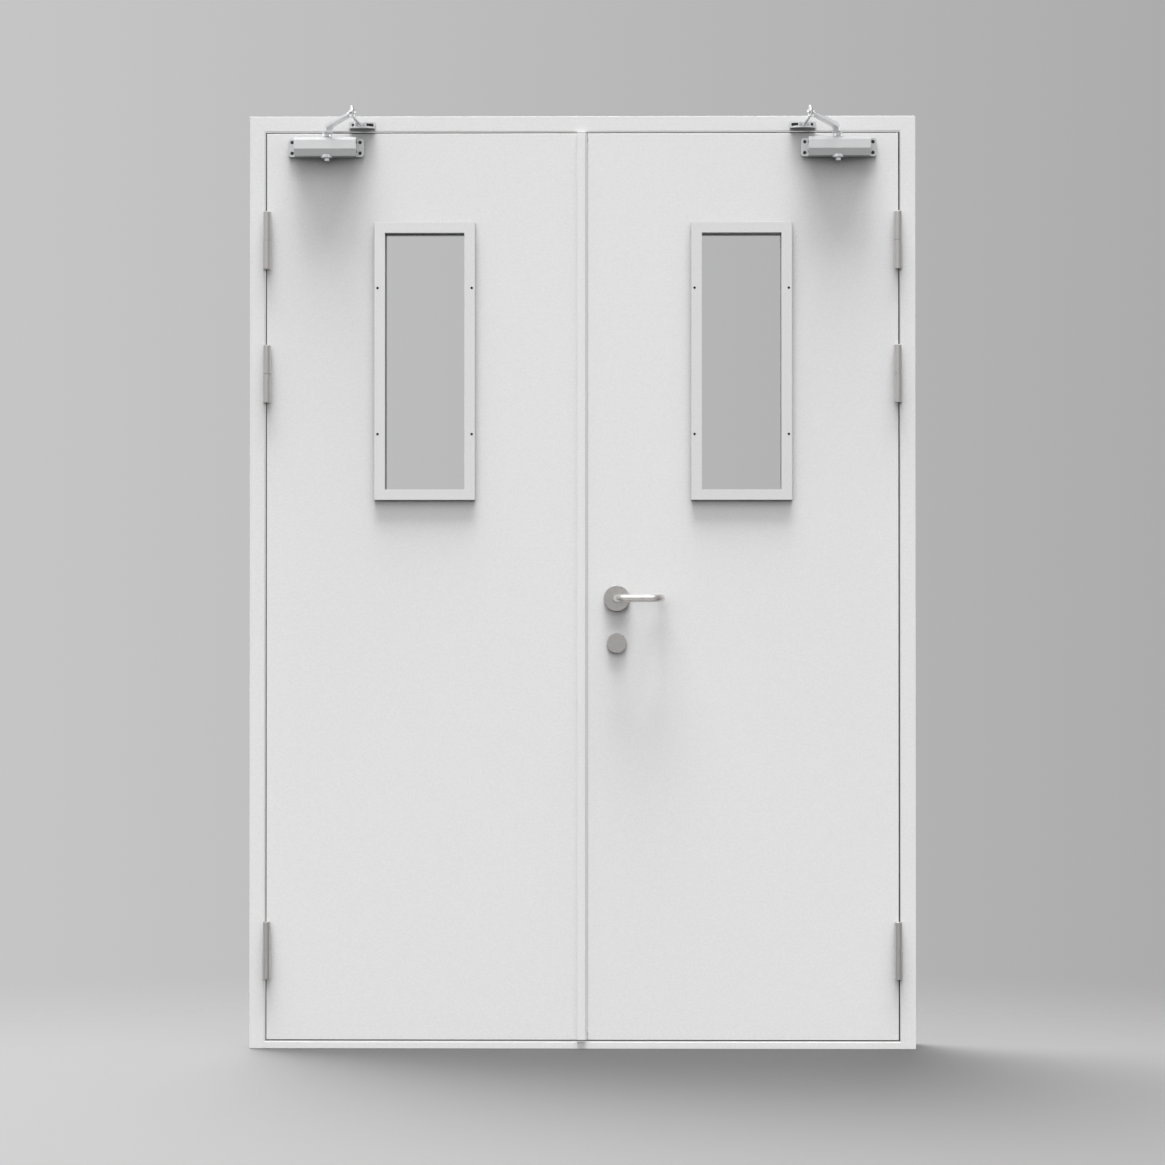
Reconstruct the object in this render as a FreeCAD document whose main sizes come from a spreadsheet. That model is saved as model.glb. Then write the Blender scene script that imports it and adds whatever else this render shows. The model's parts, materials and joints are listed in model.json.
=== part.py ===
import FreeCAD, Part
import math
import os
import re
import Sketcher

V = FreeCAD.Vector
nearby = 0.01    # how far an edge may lie from the place it is picked by

# A double-leaf steel fire door in its frame, in millimetres.
# X runs along the doorway, Y from the front (hinge) side to the back, Z up.
# The origin is the middle of the threshold's underside.

doc = FreeCAD.newDocument("FireDoor")

sizes = {
    # frame, folded from sheet
    "frameWidth": 1500,
    "frameHeight": 2100,
    "frameDepth": 115,
    "frameFace": 33.5,
    "frameSheet": 1.5,
    "stopWidth": 24,
    "wallReturn": 15,
    "thresholdHeight": 15,
    "thresholdStop": 20,
    "fixingRadius": 6,
    "fixingEnd": 200,
    # leaves
    "edgeGap": 5,
    "leafThickness": 60,
    "leafSkin": 1.5,
    "meetingOffset": 10.2,
    "meetingBevel": 3.4,
    "stripWidth": 20,
    "stripProud": 5.5,
    "stripChamfer": 1.5,
    # seals
    "leftSealThickness": 4.3,
    "rightSealThickness": 2,
    "headSealThickness": 3.7,
    "sillSealThickness": 3.7,
    "smokeSealDepth": 10,
    "smokeSealSetback": 0.6,
    "meetingSealThickness": 4.2,
    "gasketWidth": 8,
    "gasketThickness": 4,
    "gasketInset": 8,
    # windows
    "leftWindowFromEdge": 356.5,
    "rightWindowFromEdge": 352.8,
    "windowFromTop": 225,
    "clearWidth": 179,
    "clearHeight": 578,
    "bezelBorder": 24,
    "bezelProud": 10,
    "bezelChamfer": 0.6,
    "lipWidth": 12,
    "lipFit": 0.5,
    "glassThickness": 24,
    "glassFit": 1,
    # hinges
    "barrelRadius": 8.75,
    "barrelClearance": 0.5,
    "barrelLength": 130,
    "barrelChamfer": 1.5,
    "bearingThickness": 2,
    "bearingRadius": 7,
    "hingePlay": 0.3,
    "pinRadius": 5,
    "pinLength": 40,
    "pinFit": 0.05,
    "hingeInset": 1.5,
    "frameTangWidth": 3,
    "leafTangWidth": 7.5,
    "tangSetback": 1,
    "topHingeFromTop": 241.5,
    "middleHingeFromTop": 542.5,
    "bottomHingeFromBottom": 201.5,
    # closers
    "pinionFromHinge": 135,
    "closerShift": 2.5,
    "closerTopGap": 12,
    "closerBodyLength": 139,
    "closerBodyHeight": 42,
    "closerBodyDepth": 45,
    "closerTopBevel": 7,
    "closerTopRun": 10,
    "closerLowerBevel": 15,
    "closerLowerRun": 13,
    "closerEdgeRadius": 1.2,
    "lugReach": 15.5,
    "lugHeight": 41,
    "lugThickness": 8,
    "lugCorner": 7,
    "lugHoleRadius": 4,
    "lugHoleEdge": 8.5,
    "lugHolePitch": 24.4,
    "pinionReach": 23,
    "pinionRadius": 8,
    "pinionRise": 6.5,
    "capRadius": 13.2,
    "capRise": 3,
    "capDepth": 4,
    "capChamfer": 1.5,
    "nubSide": 9,
    "nubTurn": 20,
    "nubDepth": 6.5,
    # closer arms
    "armHubRadius": 11.5,
    "armHubHeight": 6,
    "armWidth": 12,
    "armFoot": 8,
    "armHeelReach": 6,
    "armHeelRise": 21,
    "armBackReach": 73,
    "armBackRise": 30.5,
    "armKneeReach": 23,
    "armKneeRise": 16,
    "armBellyReach": 66,
    "armNeckReach": 80,
    "armBendRadius": 9,
    "armEdgeChamfer": 1.5,
    "elbowRise": 25.5,
    "elbowFromHinge": 204,
    "elbowReach": 170,
    "elbowEyeRadius": 7,
    "elbowEyeHeight": 8,
    "elbowFlangeRadius": 9,
    "elbowFlangeHeight": 5.5,
    "elbowPlay": 0.5,
    "elbowBoltRadius": 5.3,
    "elbowBoltRise": 10,
    "rodRadius": 2.6,
    "rodSleeveRadius": 3,
    "rodSleeveStart": 14,
    "rodSleeveEnd": 98,
    "rodNutSide": 3.6,
    "rodNutLength": 5,
    "rodEyeRadius": 5.5,
    "rodBossRadius": 6.5,
    "rodEyeHeight": 6,
    # closer shoes
    "shoeFromHinge": 211,
    "shoePivotReach": 15,
    "shoeShift": 2.7,
    "shoeRise": 1,
    "shoeLength": 57.6,
    "shoeHeight": 14,
    "shoeEndDepth": 7,
    "shoeMiddleDepth": 23,
    "shoeSlotWidth": 22,
    "shoeSlotBack": 7.5,
    "shoePinRadius": 3,
    "shoePlay": 0.3,
    "shoeHoleRadius": 3.2,
    "shoeHoleReach": 20.2,
    "shoeSlotReach": 18,
    "shoeSlotLength": 15,
    # lever handles and lock
    "spindleFromMiddle": 77.5,
    "leverHeight": 1013,
    "roseRadius": 29,
    "roseDepth": 9,
    "roseFit": 0.4,
    "leverRadius": 8.7,
    "leverReach": 60,
    "leverLength": 100.3,
    "leverBend": 21,
    "leverEndGap": 12,
    "leverStart": 0.5,
    "spindleSide": 8,
    "spindleFit": 0.1,
    "spindleBore": 8,
    "spindleSocket": 25,
    "escutcheonRadius": 22.6,
    "escutcheonDepth": 8,
    "escutcheonDrop": 100.5,
    "discChamfer": 1,
    "faceplateLength": 235,
    "faceplateWidth": 24,
    "faceplateFit": 0.2,
}

sheet = doc.addObject("Spreadsheet::Sheet", "Sizes")
for row, (name, number) in enumerate(sizes.items(), 1):
    sheet.set(f"A{row}", name)
    sheet.set(f"B{row}", str(number))
    sheet.setAlias(f"B{row}", name)
doc.recompute()

# Places that several pieces share, as expressions of the sizes
front = "(-frameDepth / 2)"
back = "(frameDepth / 2)"
leafBack = f"({front} + leafThickness)"
stopFace = f"({leafBack} + edgeGap)"
revealX = "(frameWidth / 2 - frameFace)"
stopX = f"({revealX} - stopWidth)"
leafEdgeX = f"({revealX} - edgeGap)"
headBottom = "(frameHeight - frameFace)"
leafBottom = "(thresholdHeight + edgeGap)"
leafTop = f"({headBottom} - edgeGap)"
leafHeight = f"({leafTop} - {leafBottom})"
hingeX = f"({leafEdgeX} - hingeInset)"
hingeReach = "(barrelRadius + barrelClearance)"
windowMiddle = f"({leafTop} - windowFromTop - clearHeight / 2)"
faceplateMiddle = "(leverHeight - escutcheonDrop / 2)"
hingeLevels = {
    "top": f"{leafTop} - topHingeFromTop",
    "middle": f"{leafTop} - middleHingeFromTop",
    "bottom": f"{leafBottom} + bottomHingeFromBottom",
}


def linked(text):
    """Point every size in an expression at its cell."""
    def cell(word):
        return "Sizes." + word.group() if word.group() in sizes else word.group()
    return re.sub(r"[A-Za-z]\w*", cell, str(text))


def makeBody(name):
    body = doc.addObject("PartDesign::Body", name)
    body.Label = name
    return body


def place(body, across="0", along="0", up="0", turn=None):
    body.setExpression("Placement.Base.x", linked(across))
    body.setExpression("Placement.Base.y", linked(along))
    body.setExpression("Placement.Base.z", linked(up))
    if turn is not None:
        body.setExpression("Placement.Rotation.Angle", linked(turn))


def makeSketch(body, role, offset=None):
    sketch = body.newObject("Sketcher::SketchObject", body.Name + "_outline")
    plane = [part for part in body.Origin.OriginFeatures if part.Role == role][0]
    sketch.AttachmentSupport = [(plane, "")]
    sketch.MapMode = "FlatFace"
    if offset is not None:
        sketch.setExpression("AttachmentOffset.Base.z", linked(offset))
    return sketch


def fix(sketch, kind, item, point, text, guess):
    number = sketch.addConstraint(Sketcher.Constraint(kind, item, point, guess))
    sketch.setExpression(f"Constraints[{number}]", linked(text))


def polygon(sketch, corners):
    """A closed outline whose corners are held at the given places."""
    first = sketch.GeometryCount
    count = len(corners)
    turns = [2 * math.pi * step / count for step in range(count)]
    spots = [V(100 * math.cos(turn), 100 * math.sin(turn), 0) for turn in turns]
    for step in range(count):
        sketch.addGeometry(Part.LineSegment(spots[step], spots[(step + 1) % count]), False)
    joints = [
        Sketcher.Constraint("Coincident", first + step, 2, first + (step + 1) % count, 1)
        for step in range(count)
    ]
    sketch.addConstraint(joints)
    for step, (across, up) in enumerate(corners):
        fix(sketch, "DistanceX", first + step, 1, across, spots[step].x)
        fix(sketch, "DistanceY", first + step, 1, up, spots[step].y)


def rectangle(sketch, low, high):
    polygon(sketch, [low, (high[0], low[1]), high, (low[0], high[1])])


def circle(sketch, across, up, radius):
    item = sketch.addGeometry(Part.Circle(V(1, 1, 0), V(0, 0, 1), 3), False)
    fix(sketch, "DistanceX", item, 3, across, 1)
    fix(sketch, "DistanceY", item, 3, up, 1)
    number = sketch.addConstraint(Sketcher.Constraint("Radius", item, 3))
    sketch.setExpression(f"Constraints[{number}]", linked(radius))


def pad(body, sketch, length, reverse=False, middle=False):
    feature = body.newObject("PartDesign::Pad", body.Name + "_pad")
    feature.Profile = sketch
    feature.setExpression("Length", linked(length))
    feature.Reversed = reverse
    feature.Midplane = middle
    return feature


def pocket(body, sketch, length=None, reverse=False):
    feature = body.newObject("PartDesign::Pocket", body.Name + "_pocket")
    feature.Profile = sketch
    if length is None:
        feature.Type = "ThroughAll"
        feature.Midplane = True
    else:
        feature.setExpression("Length", linked(length))
        feature.Reversed = reverse
    return feature


def dress(body, kind, base, size, wanted):
    """Chamfer or fillet the edges of a feature that a test picks."""
    doc.recompute()
    names = [f"Edge{place}" for place, edge in enumerate(base.Shape.Edges, 1) if wanted(edge)]
    feature = body.newObject("PartDesign::" + kind, body.Name + "_" + kind.lower())
    feature.Base = (base, names)
    feature.setExpression("Size" if kind == "Chamfer" else "Radius", linked(size))
    return feature


def sized(name):
    return float(sheet.get(name))


def windowX(side, sign):
    return f"({sign} * ({leafEdgeX} - {side}WindowFromEdge))"


# Frame


def jambOutline(sign):
    """The folded section of a jamb: wall return, face, rebate, stop, soffit, back face, return."""
    steps = [
        ("0", "wallReturn"),
        ("0", "0"),
        ("frameFace", "0"),
        ("frameFace", "leafThickness + edgeGap"),
        ("frameFace + stopWidth", "leafThickness + edgeGap"),
        ("frameFace + stopWidth", "frameDepth"),
        ("0", "frameDepth"),
        ("0", "frameDepth - wallReturn"),
        ("frameSheet", "frameDepth - wallReturn"),
        ("frameSheet", "frameDepth - frameSheet"),
        ("frameFace + stopWidth - frameSheet", "frameDepth - frameSheet"),
        ("frameFace + stopWidth - frameSheet", "leafThickness + edgeGap + frameSheet"),
        ("frameFace - frameSheet", "leafThickness + edgeGap + frameSheet"),
        ("frameFace - frameSheet", "frameSheet"),
        ("frameSheet", "frameSheet"),
        ("frameSheet", "wallReturn"),
    ]
    return [(f"{sign} * (frameWidth / 2 - ({inward}))", f"{front} + {deep}") for inward, deep in steps]


def makeJamb(side, sign):
    body = makeBody(f"frame_{side}_jamb")
    section = makeSketch(body, "XY_Plane")
    polygon(section, jambOutline(sign))
    pad(body, section, "frameHeight")
    mitre = makeSketch(body, "XZ_Plane")
    reach = "(frameFace + stopWidth + wallReturn)"
    polygon(mitre, [
        (f"{sign} * frameWidth / 2", "frameHeight"),
        (f"{sign} * (frameWidth / 2 - {reach})", "frameHeight"),
        (f"{sign} * (frameWidth / 2 - {reach})", f"frameHeight - {reach}"),
    ])
    pocket(body, mitre)
    holes = makeSketch(body, "YZ_Plane", f"{sign} * {stopX}")
    for share in (-3, -1, 1, 3):
        height = f"frameHeight / 2 + {share} * (frameHeight / 2 - fixingEnd) / 3"
        circle(holes, f"({stopFace} + {back}) / 2", height, "fixingRadius")
    pocket(body, holes, "frameSheet * 2", reverse=sign > 0)
    place(body)


def makeHead():
    body = makeBody("frame_head")
    section = makeSketch(body, "YZ_Plane")
    steps = [
        ("wallReturn", "0"),
        ("0", "0"),
        ("0", "frameFace"),
        ("leafThickness + edgeGap", "frameFace"),
        ("leafThickness + edgeGap", "frameFace + stopWidth"),
        ("frameDepth", "frameFace + stopWidth"),
        ("frameDepth", "0"),
        ("frameDepth - wallReturn", "0"),
        ("frameDepth - wallReturn", "frameSheet"),
        ("frameDepth - frameSheet", "frameSheet"),
        ("frameDepth - frameSheet", "frameFace + stopWidth - frameSheet"),
        ("leafThickness + edgeGap + frameSheet", "frameFace + stopWidth - frameSheet"),
        ("leafThickness + edgeGap + frameSheet", "frameFace - frameSheet"),
        ("frameSheet", "frameFace - frameSheet"),
        ("frameSheet", "frameSheet"),
        ("wallReturn", "frameSheet"),
    ]
    polygon(section, [(f"{front} + {deep}", f"frameHeight - ({down})") for deep, down in steps])
    pad(body, section, "frameWidth", middle=True)
    mitres = makeSketch(body, "XZ_Plane")
    reach = "(frameFace + stopWidth + wallReturn)"
    for sign in (-1, 1):
        polygon(mitres, [
            (f"{sign} * frameWidth / 2", "frameHeight"),
            (f"{sign} * frameWidth / 2", f"frameHeight - {reach}"),
            (f"{sign} * (frameWidth / 2 - {reach})", f"frameHeight - {reach}"),
        ])
    pocket(body, mitres)
    place(body)


def makeThreshold():
    """A closed box section with a low stop behind the leaves, notched round the jambs' stops."""
    body = makeBody("threshold")
    section = makeSketch(body, "YZ_Plane")
    top = "thresholdHeight + thresholdStop"
    polygon(section, [
        (front, "0"),
        (back, "0"),
        (back, top),
        (stopFace, top),
        (stopFace, "thresholdHeight"),
        (front, "thresholdHeight"),
    ])
    polygon(section, [
        (f"{front} + frameSheet", "frameSheet"),
        (f"{back} - frameSheet", "frameSheet"),
        (f"{back} - frameSheet", f"{top} - frameSheet"),
        (f"{stopFace} + frameSheet", f"{top} - frameSheet"),
        (f"{stopFace} + frameSheet", "thresholdHeight - frameSheet"),
        (f"{front} + frameSheet", "thresholdHeight - frameSheet"),
    ])
    pad(body, section, f"2 * {revealX}", middle=True)
    notches = makeSketch(body, "XY_Plane", "frameHeight / 2")
    for sign in (-1, 1):
        rectangle(notches, (f"{sign} * {stopX}", stopFace), (f"{sign} * {revealX}", back))
    pocket(body, notches, "frameHeight")
    place(body)


def makeSmokeSeal():
    """A strip all round the frame's rebate, just behind the face, that closes most of the gap."""
    body = makeBody("frame_smoke_seal")
    outline = makeSketch(body, "XZ_Plane", f"-({front} + smokeSealSetback)")
    rectangle(outline, (f"-{revealX}", "thresholdHeight"), (revealX, headBottom))
    rectangle(
        outline,
        (f"-({revealX} - leftSealThickness)", "thresholdHeight + sillSealThickness"),
        (f"{revealX} - rightSealThickness", f"{headBottom} - headSealThickness"),
    )
    pad(body, outline, "smokeSealDepth", reverse=True)
    place(body)


def makeStopGasket():
    """A rubber ring on the face of the stop, all the way round."""
    body = makeBody("frame_stop_gasket")
    outline = makeSketch(body, "XZ_Plane", f"-{stopFace}")
    for grow in ("0", "gasketWidth"):
        half = f"({revealX} - gasketInset - {grow})"
        low = f"thresholdHeight + (thresholdStop - gasketWidth) / 2 + {grow}"
        rectangle(outline, (f"-{half}", low), (half, f"{headBottom} - gasketInset - {grow}"))
    pad(body, outline, "gasketThickness")
    place(body)


# Leaves


def leafOutline(sign, inset="0", start=front, end=leafBack):
    """A leaf seen from above: square at the hinges, bevelled where the leaves meet."""
    meeting = f"(meetingOffset + {sign} * edgeGap / 2)"
    slope = "(meetingBevel / leafThickness)"

    def meetingX(deep):
        return f"{meeting} + {sign} * ({inset} + {slope} * ({deep} - {front}))"
    hingeEdge = f"{sign} * ({leafEdgeX} - {inset})"
    return [(hingeEdge, start), (meetingX(start), start), (meetingX(end), end), (hingeEdge, end)]


def cutWindow(body, side, sign):
    opening = makeSketch(body, "XZ_Plane")
    half = "(clearWidth / 2 + lipWidth)"
    rise = "(clearHeight / 2 + lipWidth)"
    rectangle(
        opening,
        (f"{windowX(side, sign)} - {half}", f"{windowMiddle} - {rise}"),
        (f"{windowX(side, sign)} + {half}", f"{windowMiddle} + {rise}"),
    )
    pocket(body, opening)


def cutSpindle(body):
    bore = makeSketch(body, "XZ_Plane")
    circle(bore, "spindleFromMiddle", "leverHeight", "spindleBore")
    pocket(body, bore)


def facePlate(fit):
    """The faceplate's section in the right leaf's meeting edge, from above."""
    slope = "(meetingBevel / leafThickness)"
    middle = f"({front} + leafThickness / 2)"
    outline = []
    for inset, end in (("0", -1), ("leafSkin", -1), ("leafSkin", 1), ("0", 1)):
        deep = f"({middle} + {end} * (faceplateWidth / 2 + {fit}))"
        across = f"meetingOffset + edgeGap / 2 + {inset} + {slope} * ({deep} - {front})"
        outline.append((across, deep))
    return outline


def makeCore(side, sign):
    body = makeBody(f"{side}_leaf_core")
    outline = makeSketch(body, "XY_Plane", f"{leafBottom} + leafSkin")
    start = f"({front} + leafSkin)"
    end = f"({leafBack} - leafSkin)"
    polygon(outline, leafOutline(sign, "leafSkin", start, end))
    pad(body, outline, f"{leafHeight} - 2 * leafSkin")
    cutWindow(body, side, sign)
    if sign > 0:
        cutSpindle(body)
    place(body)


def makeFrontSkin(side, sign):
    """The front sheet, folded back round all four edges of the leaf."""
    body = makeBody(f"{side}_leaf_front_skin")
    end = f"({leafBack} - leafSkin)"
    outline = makeSketch(body, "XY_Plane", leafBottom)
    polygon(outline, leafOutline(sign, "0", front, end))
    pad(body, outline, leafHeight)
    hollow = makeSketch(body, "XY_Plane", f"{leafTop} - leafSkin")
    polygon(hollow, leafOutline(sign, "leafSkin", f"({front} + leafSkin)", end))
    pocket(body, hollow, f"{leafHeight} - 2 * leafSkin")
    cutWindow(body, side, sign)
    if sign > 0:
        cutSpindle(body)
        slot = makeSketch(body, "XY_Plane", f"{faceplateMiddle} + faceplateLength / 2 + faceplateFit")
        polygon(slot, facePlate("faceplateFit"))
        pocket(body, slot, "faceplateLength + 2 * faceplateFit")
    place(body)


def makeBackSkin(side, sign):
    body = makeBody(f"{side}_leaf_back_skin")
    outline = makeSketch(body, "XY_Plane", leafBottom)
    polygon(outline, leafOutline(sign, "0", f"({leafBack} - leafSkin)", leafBack))
    pad(body, outline, leafHeight)
    cutWindow(body, side, sign)
    if sign > 0:
        cutSpindle(body)
    place(body)


def makeGlass(side, sign):
    body = makeBody(f"{side}_window_glass")
    outline = makeSketch(body, "XZ_Plane")
    half = "(clearWidth / 2 + lipWidth - glassFit)"
    rise = "(clearHeight / 2 + lipWidth - glassFit)"
    rectangle(outline, (f"-{half}", f"-{rise}"), (half, rise))
    pad(body, outline, "glassThickness", middle=True)
    place(body, windowX(side, sign), f"{front} + leafThickness / 2", windowMiddle)


def makeBezel(side, sign, face):
    """A glazing frame: a flange on the leaf's face and a lip that reaches in to the glass."""
    body = makeBody(f"{side}_window_{face}_bezel")
    flange = makeSketch(body, "XZ_Plane")
    for grow in ("bezelBorder", "0"):
        half = f"(clearWidth / 2 + {grow})"
        rise = f"(clearHeight / 2 + {grow})"
        rectangle(flange, (f"-{half}", f"-{rise}"), (half, rise))
    flangePad = pad(body, flange, "bezelProud")
    proud = sized("bezelProud")
    tall = sized("clearHeight") / 2 + sized("bezelBorder")
    wide = sized("clearWidth") / 2 + sized("bezelBorder")

    def outerFrontEdge(edge):
        centre = edge.CenterOfMass
        outer = abs(abs(centre.x) - wide) < nearby or abs(abs(centre.z) - tall) < nearby
        return outer and abs(centre.y + proud) < nearby
    dress(body, "Chamfer", flangePad, "bezelChamfer", outerFrontEdge)
    lip = makeSketch(body, "XZ_Plane")
    for grow in ("lipWidth - lipFit", "0"):
        half = f"(clearWidth / 2 + {grow})"
        rise = f"(clearHeight / 2 + {grow})"
        rectangle(lip, (f"-{half}", f"-{rise}"), (half, rise))
    pad(body, lip, "(leafThickness - glassThickness) / 2", reverse=True)
    along = front if face == "front" else leafBack
    turn = "0" if face == "front" else "180"
    place(body, windowX(side, sign), along, windowMiddle, turn)


def makeMeetingStrip():
    body = makeBody("meeting_strip")
    outline = makeSketch(body, "XY_Plane", leafBottom)
    right = "(meetingOffset - edgeGap / 2)"
    left = f"({right} - stripWidth)"
    proud = f"({front} - stripProud)"
    polygon(outline, [
        (left, front),
        (left, f"{proud} + stripChamfer"),
        (f"{left} + stripChamfer", proud),
        (f"{right} - stripChamfer", proud),
        (right, f"{proud} + stripChamfer"),
        (right, front),
    ])
    pad(body, outline, leafHeight)
    place(body)


def makeMeetingSeal():
    """A seal down the left leaf's edge that closes most of the gap to the right leaf."""
    body = makeBody("meeting_seal")
    outline = makeSketch(body, "XY_Plane", leafBottom)
    edge = "(meetingOffset - edgeGap / 2)"
    slope = "(meetingBevel / leafThickness)"
    near = "smokeSealSetback"
    far = "(smokeSealSetback + smokeSealDepth)"
    polygon(outline, [
        (f"{edge} - {slope} * {near}", f"{front} + {near}"),
        (f"{edge} + meetingSealThickness", f"{front} + {near}"),
        (f"{edge} + meetingSealThickness", f"{front} + {far}"),
        (f"{edge} - {slope} * {far}", f"{front} + {far}"),
    ])
    pad(body, outline, leafHeight)
    place(body)


# Hinges: the lower half and its pin stand on the frame, the upper half turns with the leaf


def makeHingeHalves(side, sign, level):
    along = f"{front} - {hingeReach}"
    middle = hingeLevels[level]
    half = "(barrelLength / 2)"
    frameEdge = f"({revealX} - {hingeX})"

    lower = makeBody(f"{side}_{level}_hinge_frame_half")
    barrel = makeSketch(lower, "XY_Plane", f"-{half}")
    circle(barrel, "0", "0", "barrelRadius")
    barrelPad = pad(lower, barrel, f"{half} - bearingThickness")
    bottom = -sized("barrelLength") / 2
    dress(lower, "Chamfer", barrelPad, "barrelChamfer", lambda edge: edge.BoundBox.ZMax < bottom + nearby)
    tang = makeSketch(lower, "XY_Plane", f"-{half} + barrelChamfer")
    frameEnd = f"{sign} * {frameEdge}"
    rectangle(tang, (frameEnd, "0"), (f"{frameEnd} + {sign} * frameTangWidth", hingeReach))
    pad(lower, tang, f"{half} - barrelChamfer - bearingThickness")
    bearing = makeSketch(lower, "XY_Plane", "-bearingThickness")
    circle(bearing, "0", "0", "bearingRadius")
    pad(lower, bearing, "bearingThickness")
    pin = makeSketch(lower, "XY_Plane")
    circle(pin, "0", "0", "pinRadius")
    pad(lower, pin, "pinLength")
    place(lower, f"{sign} * {hingeX}", along, middle)

    upper = makeBody(f"{side}_{level}_hinge_leaf_half")
    barrel = makeSketch(upper, "XY_Plane", "hingePlay")
    circle(barrel, "0", "0", "barrelRadius")
    barrelPad = pad(upper, barrel, f"{half} - hingePlay")
    top = sized("barrelLength") / 2
    dress(upper, "Chamfer", barrelPad, "barrelChamfer", lambda edge: edge.BoundBox.ZMin > top - nearby)
    tang = makeSketch(upper, "XY_Plane", "hingePlay")
    leafEnd = f"{sign} * (hingeInset - tangSetback)"
    rectangle(tang, (leafEnd, "0"), (f"{leafEnd} - {sign} * leafTangWidth", hingeReach))
    pad(upper, tang, f"{half} - barrelChamfer - hingePlay")
    bore = makeSketch(upper, "XY_Plane", "pinLength + hingePlay")
    circle(bore, "0", "0", "pinRadius + pinFit")
    pocket(upper, bore, "pinLength + hingePlay")
    place(upper, f"{sign} * {hingeX}", along, middle)


# Closers

pinionX = f"({hingeX} - pinionFromHinge)"
pinionY = f"({front} - pinionReach)"
elbowX = f"({hingeX} - elbowFromHinge)"
elbowY = f"({front} - elbowReach)"
shoeX = f"({hingeX} - shoeFromHinge)"
shoeY = f"({front} - shoePivotReach)"
closerBase = f"({leafTop} - closerTopGap - closerBodyHeight)"
armBase = f"({closerBase} + closerBodyHeight + pinionRise)"
rodMiddle = f"({armBase} + elbowRise - elbowPlay - rodEyeHeight / 2)"


def length(across, along):
    return f"sqrt(({across}) * ({across}) + ({along}) * ({along}))"


def makeCloser(side, sign):
    """The closer's housing: a bevelled bar with a lug at each end and its pinion through it."""
    body = makeBody(f"{side}_closer_body")
    centre = f"({sign} * closerShift)"
    section = makeSketch(body, "YZ_Plane", centre)
    deep = "(-closerBodyDepth)"
    polygon(section, [
        ("0", "0"),
        (f"{deep} + closerLowerRun", "0"),
        (deep, "closerLowerBevel"),
        (deep, "closerBodyHeight - closerTopBevel"),
        (f"{deep} + closerTopRun", "closerBodyHeight"),
        ("0", "closerBodyHeight"),
    ])
    bar = pad(body, section, "closerBodyLength", middle=True)
    bodyLength = sized("closerBodyLength")

    def longFrontEdge(edge):
        return edge.BoundBox.XLength > bodyLength * 0.9 and edge.CenterOfMass.y < -1
    dress(body, "Fillet", bar, "closerEdgeRadius", longFrontEdge)
    lugs = makeSketch(body, "XZ_Plane")
    reach = "(closerBodyLength / 2 + lugReach)"
    middle = "closerBodyHeight / 2"
    rectangle(
        lugs,
        (f"{centre} - {reach}", f"{middle} - lugHeight / 2"),
        (f"{centre} + {reach}", f"{middle} + lugHeight / 2"),
    )
    plate = pad(body, lugs, "lugThickness")
    plateEnd = bodyLength / 2 + sized("lugReach")
    offset = sign * sized("closerShift")

    def plateCorner(edge):
        atEnd = abs(abs(edge.CenterOfMass.x - offset) - plateEnd) < nearby
        return atEnd and edge.BoundBox.ZLength < nearby < edge.BoundBox.YLength
    dress(body, "Fillet", plate, "lugCorner", plateCorner)
    holes = makeSketch(body, "XZ_Plane")
    for across in (-1, 1):
        for up in (-1, 1):
            screwX = f"{centre} + {across} * ({reach} - lugHoleEdge)"
            circle(holes, screwX, f"{middle} + {up} * lugHolePitch / 2", "lugHoleRadius")
    pocket(body, holes, "closerBodyDepth", reverse=True)
    pinion = makeSketch(body, "XY_Plane", "closerBodyHeight")
    circle(pinion, "0", "-pinionReach", "pinionRadius")
    pad(body, pinion, "pinionRise")
    cap = makeSketch(body, "XY_Plane", "capRise")
    circle(cap, "0", "-pinionReach", "capRadius")
    capPad = pad(body, cap, "capRise + capDepth", reverse=True)
    capBottom = -sized("capDepth")
    dress(body, "Chamfer", capPad, "capChamfer", lambda edge: edge.BoundBox.ZMax < capBottom + nearby)
    nub = makeSketch(body, "XY_Plane", "-capDepth")
    corners = []
    for quarter in range(4):
        turn = f"(nubTurn + {45 + 90 * quarter})"
        corners.append((
            f"nubSide / sqrt(2) * cos({turn})",
            f"nubSide / sqrt(2) * sin({turn}) - pinionReach",
        ))
    polygon(nub, corners)
    pad(body, nub, "nubDepth", reverse=True)
    place(body, f"{sign} * {pinionX}", front, closerBase)


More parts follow.
